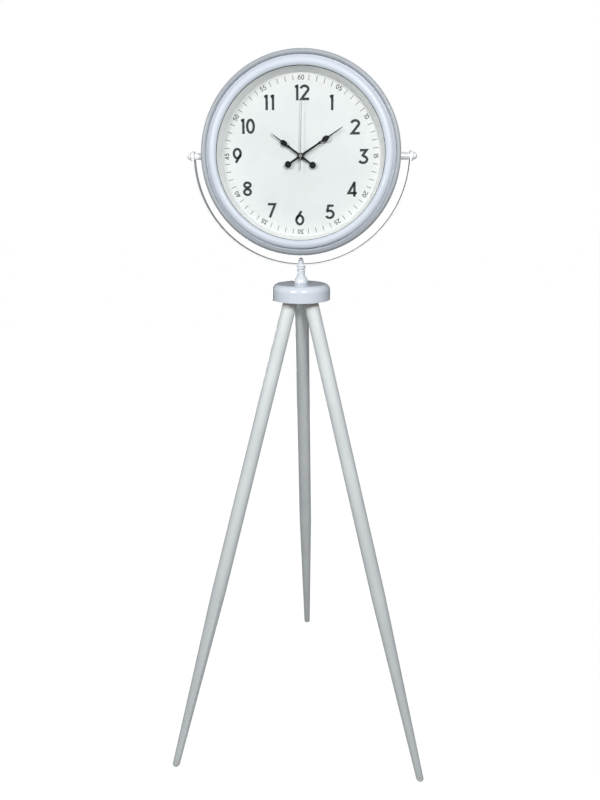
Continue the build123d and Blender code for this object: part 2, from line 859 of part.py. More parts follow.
# The stator is a flat yoke: a ring round the rotor with an arm to each end of the coil's core
stator_back = third_layer + wheel_thickness + 2 * face_gap
coil_depth = stator_back - coil_core_radius - face_gap
coil_section = Plane(
    origin=head_face.from_local_coords(Vector(0, coil_height, coil_depth)),
    x_dir=(1, 0, 0),
    z_dir=(0, -1, 0),
)
with BuildPart() as coil:
    with BuildSketch(coil_section):
        outline(
            [
                (-coil_length / 2, coil_core_radius),
                (-coil_length / 2, coil_radius),
                (coil_length / 2, coil_radius),
                (coil_length / 2, coil_core_radius),
                (coil_core_length / 2, coil_core_radius),
                (coil_core_length / 2, 0),
                (-coil_core_length / 2, 0),
                (-coil_core_length / 2, coil_core_radius),
            ]
        )
    revolve(axis=Axis(coil_section.origin, (1, 0, 0)))
save(coil.part, "coil")

stator_arm = 2 * coil_core_radius
arm_reach = (coil_length + coil_core_length) / 4
with BuildPart() as stator:
    with BuildSketch(head_face.offset(stator_back)):
        with Locations(rotor_centre):
            Circle(rotor_hole_radius + stator_arm / 2)
        arm_bottom = coil_height - coil_radius - stator_arm - face_gap
        with Locations((0, arm_bottom + stator_arm / 2)):
            Rectangle(2 * arm_reach + stator_arm, stator_arm)
        for side in (-1, 1):
            with Locations((side * arm_reach, (arm_bottom + coil_height + coil_core_radius) / 2)):
                Rectangle(stator_arm, coil_height + coil_core_radius - arm_bottom)
        with Locations(rotor_centre):
            Circle(rotor_hole_radius, mode=Mode.SUBTRACT)
    extrude(amount=stator_thickness)
save(stator.part, "stator")

# Battery and its two leaf contacts
battery_y = (bay_bottom + bay_top) / 2
battery_depth = room_front - battery_radius - face_gap
battery_left = -half_room + 4 * contact_thickness
battery_right = battery_left + battery_length
battery_section = Plane(
    origin=head_face.from_local_coords(Vector(0, battery_y, battery_depth)),
    x_dir=(1, 0, 0),
    z_dir=(0, -1, 0),
)
with BuildPart() as battery:
    with BuildSketch(battery_section):
        outline(
            [
                (battery_left, 0),
                (battery_left, battery_radius),
                (battery_right, battery_radius),
                (battery_right, battery_nub_radius),
                (battery_right + battery_nub_height, battery_nub_radius),
                (battery_right + battery_nub_height, 0),
            ]
        )
    revolve(axis=Axis(battery_section.origin, (1, 0, 0)))
save(battery.part, "battery")

contact_back = battery_depth - contact_width / 2
leaf_base = -half_room + face_gap
leaf_rise = battery_left - face_gap - contact_thickness
with BuildPart() as contact_negative:
    with BuildSketch(head_face.offset(contact_back)):
        with Locations((leaf_base + contact_thickness / 2, battery_y)):
            Rectangle(contact_thickness, 2 * contact_reach)
        outline(
            [
                (leaf_base, battery_y + contact_reach),
                (leaf_rise, battery_y),
                (leaf_base, battery_y - contact_reach),
                (leaf_base + contact_thickness, battery_y - contact_reach),
                (leaf_rise + contact_thickness, battery_y),
                (leaf_base + contact_thickness, battery_y + contact_reach),
            ]
        )
    extrude(amount=contact_width)
save(contact_negative.part, "contact_negative")

with BuildPart() as contact_positive:
    with BuildSketch(head_face.offset(contact_back)):
        contact_left = battery_right + battery_nub_height + face_gap
        contact_right = half_room - face_gap
        outline(
            [
                (contact_left, battery_y - contact_reach),
                (contact_right, battery_y - contact_reach),
                (contact_right, battery_y + contact_reach),
                (contact_right - contact_thickness, battery_y + contact_reach),
                (contact_right - contact_thickness, battery_y - contact_reach + contact_thickness),
                (contact_left + contact_thickness, battery_y - contact_reach + contact_thickness),
                (contact_left + contact_thickness, battery_y + contact_reach),
                (contact_left, battery_y + contact_reach),
            ]
        )
    extrude(amount=contact_width)
save(contact_positive.part, "contact_positive")

# Wheels of the movement


def teeth_face(teeth, module, phase, centre):
    """A toothed outline whose first tooth points along the phase, round a centre."""
    pitch_radius = module * teeth / 2
    tip_radius = pitch_radius + addendum_share * module
    root_radius = pitch_radius - dedendum_share * module
    half_tooth = tooth_share * 180 / teeth
    half_tip = half_tooth * tooth_tip_share
    corners = (
        (root_radius, -half_tooth),
        (pitch_radius, -half_tooth),
        (tip_radius, -half_tip),
        (tip_radius, half_tip),
        (pitch_radius, half_tooth),
        (root_radius, half_tooth),
    )
    points = []
    for tooth in range(teeth):
        for radius, angle in corners:
            points.append(polar_point(centre, radius, phase + tooth * 360 / teeth + angle))
    outline(points)


def arbor(centre, radius, back, front):
    """A round pin of the wheel being made, between two depths."""
    with BuildSketch(head_face.offset(back)) as section:
        with Locations(centre):
            Circle(radius)
    extrude(section.sketch, amount=front - back)


arbor_back = movement_back + movement_wall - pivot_depth + face_gap
arbor_front = plate_layer + wheel_thickness - face_gap
front_pivot = room_front + pivot_depth - face_gap

# Minute pinion on its long tube, friction-held in the centre wheel
minute_phase = 0.0
motion_phase = meshing_phase(minute_pinion_teeth, minute_phase, motion_direction, motion_wheel_teeth)
hour_hand_back = bush_front + hand_collet_height + hand_spacing
minute_hand_back = hour_hand_back + hand_spacing
second_hand_back = minute_hand_back + hand_spacing
minute_tube_front = minute_hand_back + hand_thickness + face_gap
hour_tube_front = hour_hand_back + hand_thickness + face_gap
with BuildPart() as minute_arbor:
    with BuildSketch(head_face.offset(motion_layer)):
        teeth_face(minute_pinion_teeth, setting_module, minute_phase, middle)
    extrude(amount=wheel_thickness)
    arbor(middle, minute_tube_radius, centre_layer - face_gap, minute_tube_front)
    with BuildSketch(head_face.offset(centre_layer - wheel_thickness)):
        Circle(minute_tube_bore)
    extrude(amount=minute_tube_front - centre_layer + 2 * wheel_thickness, mode=Mode.SUBTRACT)
save(minute_arbor.part, "minute_arbor")

motion_pinion_phase = 0.0
with BuildPart() as motion_wheel:
    with BuildSketch(head_face.offset(motion_layer)):
        teeth_face(motion_wheel_teeth, setting_module, motion_phase, motion_centre)
    extrude(amount=wheel_thickness)
    with BuildSketch(head_face.offset(motion_layer)):
        teeth_face(motion_pinion_teeth, hour_pair_module, motion_pinion_phase, motion_centre)
    extrude(amount=hour_layer + wheel_thickness - motion_layer)
    arbor(motion_centre, arbor_radius, plate_layer + face_gap, front_pivot)
save(motion_wheel.part, "motion_wheel")

hour_phase = meshing_phase(motion_pinion_teeth, motion_pinion_phase, motion_direction + 180, hour_wheel_teeth)
with BuildPart() as hour_wheel:
    with BuildSketch(head_face.offset(hour_layer)):
        teeth_face(hour_wheel_teeth, hour_pair_module, hour_phase, middle)
    extrude(amount=wheel_thickness)
    arbor(middle, hour_tube_radius, hour_layer, hour_tube_front)
    with BuildSketch(head_face.offset(hour_layer)):
        Circle(hour_tube_bore)
    extrude(amount=hour_tube_front - hour_layer, mode=Mode.SUBTRACT)
save(hour_wheel.part, "hour_wheel")

knob_phase = meshing_phase(motion_wheel_teeth, motion_phase, knob_direction, knob_pinion_teeth)
time_knob_front = movement_back - hole_fit
with BuildPart() as time_knob:
    with BuildSketch(head_face.offset(motion_layer)):
        teeth_face(knob_pinion_teeth, setting_module, knob_phase, knob_centre)
    extrude(amount=wheel_thickness)
    arbor(knob_centre, time_knob_stem_radius, time_knob_front, front_pivot)
    with BuildSketch(head_face.offset(time_knob_front)):
        with Locations(knob_centre):
            Circle(time_knob_radius)
            with PolarLocations(time_knob_radius, time_knob_grooves):
                Circle(time_knob_radius / time_knob_grooves, mode=Mode.SUBTRACT)
    extrude(amount=-time_knob_height)
save(time_knob.part, "time_knob")

third_pinion_phase = 0.0
back_to_middle = third_direction + 180
centre_phase = meshing_phase(third_pinion_teeth, third_pinion_phase, back_to_middle, centre_wheel_teeth)
with BuildPart() as centre_wheel:
    with BuildSketch(head_face.offset(centre_layer)):
        teeth_face(centre_wheel_teeth, centre_pair_module, centre_phase, middle)
        Circle(minute_tube_radius + running_fit, mode=Mode.SUBTRACT)
    extrude(amount=wheel_thickness)
save(centre_wheel.part, "centre_wheel")

seconds_pinion_phase = 0.0
third_phase = meshing_phase(seconds_pinion_teeth, seconds_pinion_phase, third_direction, third_wheel_teeth)
with BuildPart() as third_wheel:
    with BuildSketch(head_face.offset(third_layer)):
        teeth_face(third_wheel_teeth, third_module, third_phase, third_centre)
    extrude(amount=wheel_thickness)
    with BuildSketch(head_face.offset(third_layer)):
        teeth_face(third_pinion_teeth, centre_pair_module, third_pinion_phase, third_centre)
    extrude(amount=centre_layer + wheel_thickness - third_layer)
    arbor(third_centre, arbor_radius, arbor_back, arbor_front)
save(third_wheel.part, "third_wheel")

seconds_phase = 0.0
second_pin_front = second_hand_back + hand_thickness + face_gap
with BuildPart() as seconds_wheel:
    with BuildSketch(head_face.offset(seconds_layer)):
        teeth_face(seconds_wheel_teeth, seconds_module, seconds_phase, middle)
    extrude(amount=wheel_thickness)
    with BuildSketch(head_face.offset(seconds_layer)):
        teeth_face(seconds_pinion_teeth, third_module, seconds_pinion_phase, middle)
    extrude(amount=third_layer + wheel_thickness - seconds_layer)
    arbor(middle, seconds_pin_radius, arbor_back, second_pin_front)
save(seconds_wheel.part, "seconds_wheel")

intermediate_phase = 0.0
intermediate_pinion_phase = meshing_phase(
    seconds_wheel_teeth, seconds_phase, intermediate_direction, intermediate_pinion_teeth
)
with BuildPart() as intermediate_wheel:
    with BuildSketch(head_face.offset(intermediate_layer)):
        teeth_face(intermediate_wheel_teeth, seconds_module, intermediate_phase, intermediate_centre)
    extrude(amount=wheel_thickness)
    with BuildSketch(head_face.offset(intermediate_layer)):
        teeth_face(
            intermediate_pinion_teeth, seconds_module, intermediate_pinion_phase, intermediate_centre
        )
    extrude(amount=seconds_layer + wheel_thickness - intermediate_layer)
    arbor(intermediate_centre, arbor_radius, arbor_back, arbor_front)
save(intermediate_wheel.part, "intermediate_wheel")

rotor_phase = meshing_phase(
    intermediate_wheel_teeth, intermediate_phase, rotor_direction, rotor_pinion_teeth
)
with BuildPart() as rotor:
    with BuildSketch(head_face.offset(intermediate_layer)):
        teeth_face(rotor_pinion_teeth, seconds_module, rotor_phase, rotor_centre)
    extrude(amount=wheel_thickness)
    magnet_back = stator_back + stator_thickness / 2 - rotor_magnet_length / 2
    arbor(rotor_centre, rotor_magnet_radius, magnet_back, magnet_back + rotor_magnet_length)
    arbor(rotor_centre, arbor_radius, arbor_back, arbor_front)
save(rotor.part, "rotor")

# Hands


def hand_plane(angle, back):
    """Plane of a hand whose local Y points along the hand, clockwise from twelve."""
    return Plane(
        origin=head_face.from_local_coords(Vector(0, 0, back)),
        x_dir=(cos(radians(angle)), 0, -sin(radians(angle))),
        z_dir=(0, -1, 0),
    )


def leaf(centre_at, half_length, half_width):
    """A pointed oval across the hand's stem, in the sketch being drawn."""
    with BuildLine(Plane.XY) as border:
        low = (0, centre_at - half_length)
        high = (0, centre_at + half_length)
        ThreePointArc(low, (half_width, centre_at), high)
        ThreePointArc(high, (-half_width, centre_at), low)
    make_face(border.edges())


def leaf_hand(label, angle, back, length, leaf_at, bead_at, bore_radius):
    """A leaf hand with a bead inside the leaf and a round counterweight."""
    with BuildPart() as hand:
        with BuildSketch(hand_plane(angle, back)):
            outline(
                [
                    (-hand_stem_width / 2, 0),
                    (-hand_waist_width / 2, leaf_at),
                    (-hand_tip_width / 2, length),
                    (hand_tip_width / 2, length),
                    (hand_waist_width / 2, leaf_at),
                    (hand_stem_width / 2, 0),
                    (hand_waist_width / 2, -hand_tail_length),
                    (-hand_waist_width / 2, -hand_tail_length),
                ]
            )
            leaf(leaf_at, leaf_half_length, leaf_half_width)
            leaf(bead_at, bead_half_length, bead_half_width)
            Circle(hand_hub_radius)
            with Locations((0, -hand_tail_length)):
                Circle(hand_tail_disc_radius)
            Circle(bore_radius, mode=Mode.SUBTRACT)
        extrude(amount=hand_thickness)
        with BuildSketch(hand_plane(angle, back)):
            Circle(bore_radius + hand_collet_height / 2)
            Circle(bore_radius, mode=Mode.SUBTRACT)
        extrude(amount=-hand_collet_height)
    save(hand.part, label)


leaf_hand(
    "hour_hand",
    hour_hand_angle,
    hour_hand_back,
    hour_hand_length,
    hour_leaf_at,
    hour_bead_at,
    hour_tube_radius + thread_fit,
)
leaf_hand(
    "minute_hand",
    minute_hand_angle,
    minute_hand_back,
    minute_hand_length,
    minute_leaf_at,
    minute_bead_at,
    minute_tube_radius + thread_fit,
)

with BuildPart() as second_hand:
    with BuildSketch(hand_plane(second_hand_angle, second_hand_back)):
        outline(
            [
                (-second_hand_width / 2, -second_tail_length),
                (-second_hand_width / 4, second_hand_length),
                (second_hand_width / 4, second_hand_length),
                (second_hand_width / 2, -second_tail_length),
            ]
        )
        Circle(second_cap_radius)
    extrude(amount=hand_thickness)
    with BuildSketch(hand_plane(second_hand_angle, second_hand_back)):
        Circle(second_cap_radius)
    extrude(amount=hand_thickness + hand_collet_height)
    with BuildSketch(hand_plane(second_hand_angle, second_hand_back)):
        Circle(seconds_pin_radius + hand_collet_height / 2)
    extrude(amount=-hand_collet_height)
    with BuildSketch(hand_plane(second_hand_angle, second_hand_back - hand_collet_height)):
        Circle(seconds_pin_radius + thread_fit)
    extrude(amount=hand_collet_height + hand_thickness + 2 * face_gap, mode=Mode.SUBTRACT)
save(second_hand.part, "second_hand")
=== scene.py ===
import math

import bpy
from mathutils import Matrix, Vector


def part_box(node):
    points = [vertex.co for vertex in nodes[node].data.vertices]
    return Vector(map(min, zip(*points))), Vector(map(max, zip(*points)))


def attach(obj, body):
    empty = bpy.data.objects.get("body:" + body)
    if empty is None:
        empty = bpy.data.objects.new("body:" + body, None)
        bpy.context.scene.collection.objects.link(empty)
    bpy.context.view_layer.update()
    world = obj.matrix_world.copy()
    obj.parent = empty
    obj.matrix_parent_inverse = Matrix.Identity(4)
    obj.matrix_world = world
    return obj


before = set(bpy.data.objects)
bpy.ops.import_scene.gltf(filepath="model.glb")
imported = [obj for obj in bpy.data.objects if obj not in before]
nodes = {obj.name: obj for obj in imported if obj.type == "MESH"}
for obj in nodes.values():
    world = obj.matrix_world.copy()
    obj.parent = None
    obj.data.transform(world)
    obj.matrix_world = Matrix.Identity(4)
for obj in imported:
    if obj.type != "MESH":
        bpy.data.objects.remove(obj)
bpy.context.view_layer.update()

MM = 0.001

# The head's own place: its centre on the pivot axis, the dial's face, and the plane of the mast
case_low, case_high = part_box("case_shell")
dial_low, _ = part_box("dial_plate")
knob_low, knob_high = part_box("tilt_knob_left")
head_x = (case_low.x + case_high.x) / 2
head_z = (case_low.z + case_high.z) / 2
dial_y = dial_low.y
mast_y = (knob_low.y + knob_high.y) / 2


def add_node(tree, kind, settings=None, values=None):
    """Adds a node to a tree, sets its options, and links or fills its inputs."""
    made = tree.nodes.new(kind)
    for key, value in (settings or {}).items():
        setattr(made, key, value)
    for key, value in (values or {}).items():
        if isinstance(value, bpy.types.NodeSocket):
            tree.links.new(value, made.inputs[key])
        else:
            made.inputs[key].default_value = value
    return made


class Value:
    """One socket of a material's nodes, with arithmetic on it."""

    def __init__(self, paint, socket):
        self.paint = paint
        self.socket = socket

    def calculate(self, operation, first, second=0.0):
        return self.paint.node("Math", {"operation": operation}, {0: first, 1: second})

    def __add__(self, other):
        return self.calculate("ADD", self, other)

    def __radd__(self, other):
        return self.calculate("ADD", other, self)

    def __sub__(self, other):
        return self.calculate("SUBTRACT", self, other)

    def __rsub__(self, other):
        return self.calculate("SUBTRACT", other, self)

    def __mul__(self, other):
        return self.calculate("MULTIPLY", self, other)

    def __truediv__(self, other):
        return self.calculate("DIVIDE", self, other)

    def __pow__(self, other):
        return self.calculate("POWER", self, other)

    def sine(self):
        return self.calculate("SINE", self)

    def wave(self):
        """The value's sine, lifted to run from 0 to 1."""
        return self.sine() * 0.5 + 0.5

    def root(self):
        return self.calculate("SQRT", self)

    def between(self, low, high):
        """0 below low, 1 above high, smooth between."""
        settings = {"interpolation_type": "SMOOTHSTEP", "clamp": True}
        return self.paint.node("MapRange", settings, {0: self, 1: low, 2: high})


class Paint:
    """A material and the calls that build its nodes."""

    def __init__(self, name):
        self.material = bpy.data.materials.new(name)
        self.material.use_nodes = True
        self.tree = self.material.node_tree
        self.tree.nodes.clear()
        self.place = self.node("TexCoord", output="Object")

    def node(self, kind, settings=None, values=None, output=0):
        """Adds a shader node and returns one of its outputs."""
        inputs = {}
        for key, value in (values or {}).items():
            inputs[key] = value.socket if isinstance(value, Value) else value
        made = add_node(self.tree, "ShaderNode" + kind, settings, inputs)
        return Value(self, made.outputs[output])

    def axes(self):
        """The three coordinates of a place, in metres."""
        split = self.node("SeparateXYZ", None, {0: self.place})
        return [Value(self, output) for output in split.socket.node.outputs]

    def along(self, direction, origin):
        """How far a place lies from the origin along a direction, in metres."""
        moved = self.node("VectorMath", {"operation": "SUBTRACT"}, {0: self.place, 1: origin})
        return self.node("VectorMath", {"operation": "DOT_PRODUCT"}, {0: moved, 1: direction}, "Value")

    def noise(self, scale, detail=3.0, roughness=0.5, place=None):
        """Soft noise about 0.5, with its scale in cells per metre."""
        values = {"Vector": place or self.place, "Scale": scale, "Detail": detail, "Roughness": roughness}
        return self.node("TexNoise", {"noise_dimensions": "3D"}, values, "Fac")

    def cells(self, scale):
        """Distance to the nearest of scattered points, with the scale in cells per metre."""
        values = {"Vector": self.place, "Scale": scale}
        return self.node("TexVoronoi", {"feature": "F1"}, values, "Distance")

    def stretched(self, scales):
        """The place scaled by its own amount on each axis, for marks longer one way than the others."""
        values = {"Vector": self.place, "Rotation": (0.0, 0.0, 0.0), "Scale": scales}
        return self.node("Mapping", {"vector_type": "POINT"}, values)

    def mix(self, factor, first, second):
        """A colour between two colours."""
        first = first if isinstance(first, Value) else (*first, 1.0)
        second = second if isinstance(second, Value) else (*second, 1.0)
        return self.node("Mix", {"data_type": "RGBA"}, {0: factor, 6: first, 7: second}, 2)

    def bump(self, height, distance, strength):
        """A surface that rises with a height, by at most a distance in metres."""
        values = {"Height": height, "Distance": distance, "Strength": strength}
        return self.node("Bump", None, values, "Normal")

    def join_output(self, shader):
        made = self.tree.nodes.new("ShaderNodeOutputMaterial")
        self.tree.links.new(shader.socket, made.inputs["Surface"])

    def finish(self, **values):
        """Joins the surface shader to the material's output and returns the material."""
        inputs = {key.replace("_", " "): value for key, value in values.items()}
        self.join_output(self.node("BsdfPrincipled", None, inputs))
        return self.material


def distance(first, second):
    """The distance from an axis, by two coordinates square to it."""
    return (first ** 2.0 + second ** 2.0).root()


def dress(material, *names):
    """Gives CAD nodes a material."""
    for name in names:
        data = nodes[name].data
        data.materials.clear()
        data.materials.append(material)


# Unevenness of sprayed enamel: its scales in cells per metre, and the depth of its orange peel in metres
cloud_scale = 9.0
peel_scale = 420.0
dust_scale = 2600.0
peel_depth = 0.00004
coarse_peel_depth = 0.00008


def gloss_enamel(name, colour, shade, roughness, peel=peel_depth, coat=0.5):
    """Sprayed gloss enamel: slight orange peel, a cloudy tint and fine dust in the film."""
    paint = Paint(name)
    cloud = paint.noise(cloud_scale)
    dust = paint.noise(dust_scale, 1.0).between(0.72, 0.8)
    base = paint.mix(cloud.between(0.3, 0.75), colour, shade)
    base = paint.mix(dust * 0.25, base, [channel * 0.82 for channel in shade])
    return paint.finish(
        Base_Color=base,
        Roughness=roughness + cloud * 0.05 + dust * 0.15,
        Normal=paint.bump(paint.noise(peel_scale, 2.0), peel, 0.35),
        Coat_Weight=coat,
        Coat_Roughness=0.08,
        Specular_IOR_Level=0.5,
    )


def case_enamel():
    """Grey-white enamel of the case, with painted shade that makes it greyer towards the bottom and
    painted light that makes it paler and bluer in the bezel's groove.
    """
    groove_light_start = 0.191
    groove_light_end = 0.196
    painted_shade_depth = 0.2
    paint = Paint("case_enamel")
    x, _, z = paint.axes()
    radius = distance(x - head_x, z - head_z)
    cloud = paint.noise(cloud_scale)
    base = paint.mix(cloud.between(0.3, 0.75), (0.40, 0.43, 0.46), (0.355, 0.385, 0.415))
    # Painted shade: the enamel turns greyer towards the bottom of the case, where less light reaches the
    # rim.
    base = paint.mix((head_z - z).between(0.0, painted_shade_depth) * 0.6, base, (0.2, 0.225, 0.24))
    # Painted light: inside the groove's radius the enamel is paler and bluer, to lift the shade in the
    # bezel's groove.
    base = paint.mix(radius.between(groove_light_start, groove_light_end), (0.56, 0.605, 0.67), base)
    return paint.finish(
        Base_Color=base,
        Roughness=0.38 + cloud * 0.05,
        Normal=paint.bump(paint.noise(peel_scale, 2.0), peel_depth, 0.35),
        Coat_Weight=0.1,
        Coat_Roughness=0.08,
    )


def leg_paint(name, foot, top):
    """Satin paint over turned wood: grain that telegraphs along the leg, and a scuffed foot."""
    scuff_low = 0.004
    scuff_high = 0.03
    paint = Paint(name)
    axis = (Vector(top) - Vector(foot)).normalized()
    side = axis.orthogonal().normalized()
    up_leg = paint.along(tuple(axis), foot)
    across = paint.along(tuple(side), foot)
    deep = paint.along(tuple(axis.cross(side)), foot)

    def along_leg(across_scale, up_scale):
        """The place in cells across and up the leg, for marks drawn out along it."""
        scaled = {0: across * across_scale, 1: deep * across_scale, 2: up_leg * up_scale}
        return paint.node("CombineXYZ", None, scaled)

    grain = paint.noise(1.0, 5.0, 0.6, along_leg(420.0, 9.0))
    pores = paint.noise(1.0, 2.0, 0.5, along_leg(1500.0, 42.0)).between(0.62, 0.74)
    cloud = paint.noise(7.0)
    near_floor = 1.0 - up_leg.between(scuff_low, scuff_high)
    scuff = paint.noise(260.0, 4.0, 0.65).between(0.5, 0.62) * near_floor
    base = paint.mix(cloud.between(0.3, 0.7), (0.83, 0.87, 0.875), (0.76, 0.80, 0.81))
    base = paint.mix(grain.between(0.35, 0.75) * 0.22, base, (0.62, 0.64, 0.66))
    base = paint.mix(pores * 0.2, base, (0.5, 0.51, 0.52))
    base = paint.mix(scuff * 0.7, base, (0.44, 0.37, 0.29))
    return paint.finish(
        Base_Color=base,
        Roughness=0.36 + grain * 0.1 + scuff * 0.3,
        Normal=paint.bump(grain * 0.6 - pores * 0.5, 0.00012, 0.5),
        Coat_Weight=0.15,
        Coat_Roughness=0.3,
    )


def core_wood():
    """Bare turned block: growth rings about an off-centre heart, with fine pores."""
    heart_x = 0.021
    heart_y = mast_y - 0.045
    ring_rate = 2600.0
    paint = Paint("core_wood")
    x, y, _ = paint.axes()
    wobble = paint.noise(18.0) * 0.006
    rings = ((distance(x - heart_x, y - heart_y) + wobble) * ring_rate).wave()
    pores = paint.noise(900.0).between(0.6, 0.72)
    base = paint.mix(rings, (0.50, 0.35, 0.21), (0.66, 0.51, 0.34))
    base = paint.mix(pores * 0.5, base, (0.32, 0.2, 0.11))
    return paint.finish(
        Base_Color=base,
        Roughness=0.62 + pores * 0.15,
        Normal=paint.bump(rings - pores, 0.0001, 0.6),
    )


def turned_brass():
    """Machined brass with fine lathe rings about the head's axis and light tarnish."""
    lathe_rate = 30000.0
    paint = Paint("turned_brass")
    x, _, z = paint.axes()
    rings = (distance(x - head_x, z - head_z) * lathe_rate + paint.noise(60.0) * 4.0).wave()
    tarnish = paint.noise(85.0, 4.0, 0.6).between(0.45, 0.75)
    return paint.finish(
        Base_Color=paint.mix(tarnish, (0.80, 0.62, 0.30), (0.55, 0.39, 0.16)),
        Metallic=0.92,
        Roughness=0.24 + tarnish * 0.18 + rings * 0.05,
        Normal=paint.bump(rings, 0.00002, 0.35),
    )


def plated_steel(name, bright, dark, roughness=0.3):
    """Plated steel: a faint spangle and a few wiped marks."""
    paint = Paint(name)
    spangle = paint.cells(700.0)
    wipe = paint.noise(1.0, 3.0, 0.6, paint.stretched((60.0, 900.0, 60.0)))
    return paint.finish(
        Base_Color=paint.mix(wipe.between(0.35, 0.75), bright, dark),
        Metallic=0.95,
        Roughness=roughness + spangle * 0.12 + wipe * 0.1,
        Normal=paint.bump(wipe, 0.00002, 0.4),
    )


def moulded_plastic(name, colour, shade, roughness):
    """Injection-moulded plastic with a fine spark-eroded grain and slight flow marks."""
    paint = Paint(name)
    grain = paint.noise(1900.0, 2.0)
    flow = paint.noise(1.0, 3.0, 0.5, paint.stretched((35.0, 120.0, 60.0)))
    return paint.finish(
        Base_Color=paint.mix(flow.between(0.35, 0.7), colour, shade),
        Roughness=roughness + grain * 0.14,
        Normal=paint.bump(grain, 0.00004, 0.5),
    )


def dial_board():
    """Matt off-white print: paper tooth, a soft mottle and a little yellowing at the rim."""
    yellow_start = 0.12
    yellow_end = 0.172
    paint = Paint("dial_print_ground")
    x, _, z = paint.axes()
    radius = distance(x - head_x, z - head_z)
    tooth = paint.noise(2400.0, 2.0)
    mottle = paint.noise(14.0, 4.0, 0.6)
    base = paint.mix(mottle.between(0.3, 0.7), (0.84, 0.87, 0.865), (0.80, 0.83, 0.825))
    base = paint.mix(radius.between(yellow_start, yellow_end) * 0.25, base, (0.79, 0.79, 0.76))
    base = paint.mix(tooth.between(0.55, 0.8) * 0.15, base, (0.72, 0.73, 0.73))
    return paint.finish(
        Base_Color=base,
        Roughness=0.62 + tooth * 0.12,
        Normal=paint.bump(tooth, 0.00002, 0.25),
        Specular_IOR_Level=0.3,
    )


def ink(name, colour, worn):
    """Screen-printed ink: slightly uneven cover."""
    paint = Paint(name)
    cover = paint.noise(1400.0, 3.0, 0.6)
    band = paint.noise(60.0, 2.0)
    return paint.finish(
        Base_Color=paint.mix(cover.between(0.5, 0.8) * 0.35 + band * 0.15, colour, worn),
        Roughness=0.5 + cover * 0.15,
        Normal=paint.bump(cover, 0.00001, 0.3),
        Specular_IOR_Level=0.12,
    )


def lens_glass():
    """Clear polished glass, nearly invisible face on, brighter at a slant, with faint smears."""
    paint = Paint("lens_glass")
    slant = paint.node("LayerWeight", None, {"Blend": 0.12}, "Fresnel")
    smear = paint.noise(1.0, 4.0, 0.6, paint.stretched((9.0, 9.0, 30.0))).between(0.45, 0.8)
    return paint.finish(
        Base_Color=paint.mix(smear, (0.10, 0.13, 0.125), (0.2, 0.23, 0.225)),
        Roughness=0.02 + smear * 0.03,
        Alpha=0.035 + slant * 0.4 + smear * 0.01,
        Specular_IOR_Level=0.5,
    )


def hand_lacquer(name, colour, edge):
    """Smooth lacquer on stamped metal, thin and slightly brushed."""
    paint = Paint(name)
    brush = paint.noise(1.0, 3.0, 0.6, paint.stretched((600.0, 300.0, 90.0)))
    fleck = paint.noise(1700.0, 2.0).between(0.68, 0.78)
    return paint.finish(
        Base_Color=paint.mix(brush.between(0.4, 0.8) * 0.5 + fleck * 0.3, colour, edge),
        Roughness=0.14 + brush * 0.08,
        Normal=paint.bump(brush, 0.000006, 0.2),
        Specular_IOR_Level=0.3,
    )


def gasket_rubber():
    """Matt black rubber with bloom and a moulded skin."""
    paint = Paint("gasket_rubber")
    bloom = paint.noise(90.0, 4.0, 0.6).between(0.4, 0.8)
    skin = paint.noise(1500.0)
    return paint.finish(
        Base_Color=paint.mix(bloom, (0.022, 0.022, 0.024), (0.055, 0.055, 0.058)),
        Roughness=0.72 + skin * 0.15,
        Normal=paint.bump(skin, 0.00005, 0.5),
    )


def board_lacquer():
    """Green circuit board: copper tracks under lacquer and a few solder dots."""
    track_rate = 5200.0
    bend_rate = 1900.0
    paint = Paint("circuit_board_lacquer")
    x, _, z = paint.axes()
    tracks = (x * track_rate + (z * bend_rate).sine() * 2.0).sine().between(0.55, 0.75)
    solder = 1.0 - paint.cells(330.0).between(0.16, 0.22)
    base = paint.mix(tracks, (0.02, 0.16, 0.07), (0.05, 0.27, 0.12))
    base = paint.mix(solder, base, (0.66, 0.66, 0.64))
    return paint.finish(
        Base_Color=base,
        Metallic=solder * 0.9,
        Roughness=0.3 + tracks * 0.1,
        Normal=paint.bump(tracks + solder, 0.00006, 0.6),
    )


def wound_copper():
    """Enamelled copper wire wound across the coil, with painted shade between the turns and a painted
    highlight along them.
    """
    wire_rate = 31000.0
    paint = Paint("coil_winding")
    turns = (paint.axes()[0] * wire_rate).wave()
    lay = paint.noise(400.0)
    return paint.finish(
        # Painted shade and highlight: the copper is dark in the creases between turns and bright on their
        # crowns.
        Base_Color=paint.mix(turns * (0.6 + lay * 0.4), (0.30, 0.1, 0.035), (0.82, 0.40, 0.2)),
        Metallic=0.85,
        Roughness=0.28 + lay * 0.2,
        Normal=paint.bump(turns, 0.00008, 0.8),
    )


def battery_sleeve():
    """Plain shrink sleeve: dark body, a coppery band at one end, bare steel at the ends."""
    paint = Paint("battery_sleeve")
    low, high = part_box("battery")
    share = (paint.axes()[0] - low.x) / (high.x - low.x)
    band = share.between(0.70, 0.705)
    steel = share.between(0.965, 0.97) + (1.0 - share.between(0.012, 0.017))
    scuff = paint.noise(350.0, 4.0, 0.65).between(0.58, 0.74)
    base = paint.mix(band, (0.03, 0.033, 0.036), (0.52, 0.27, 0.12))
    base = paint.mix(steel, base, (0.66, 0.67, 0.68))
    base = paint.mix(scuff * 0.35, base, (0.3, 0.3, 0.3))
    return paint.finish(
        Base_Color=base,
        Metallic=band * 0.6 + steel * 0.4,
        Roughness=0.24 + scuff * 0.3,
        Normal=paint.bump(scuff, 0.00003, 0.4),
    )


def sintered_magnet():
    """Grey sintered magnet with a granular skin."""
    paint = Paint("rotor_magnet")
    grit = paint.noise(5200.0, 3.0, 0.7)
    return paint.finish(
        Base_Color=paint.mix(grit.between(0.35, 0.7), (0.12, 0.12, 0.13), (0.27, 0.27, 0.28)),
        Metallic=0.6,
        Roughness=0.5 + grit * 0.2,
        Normal=paint.bump(grit, 0.00005, 0.8),
    )


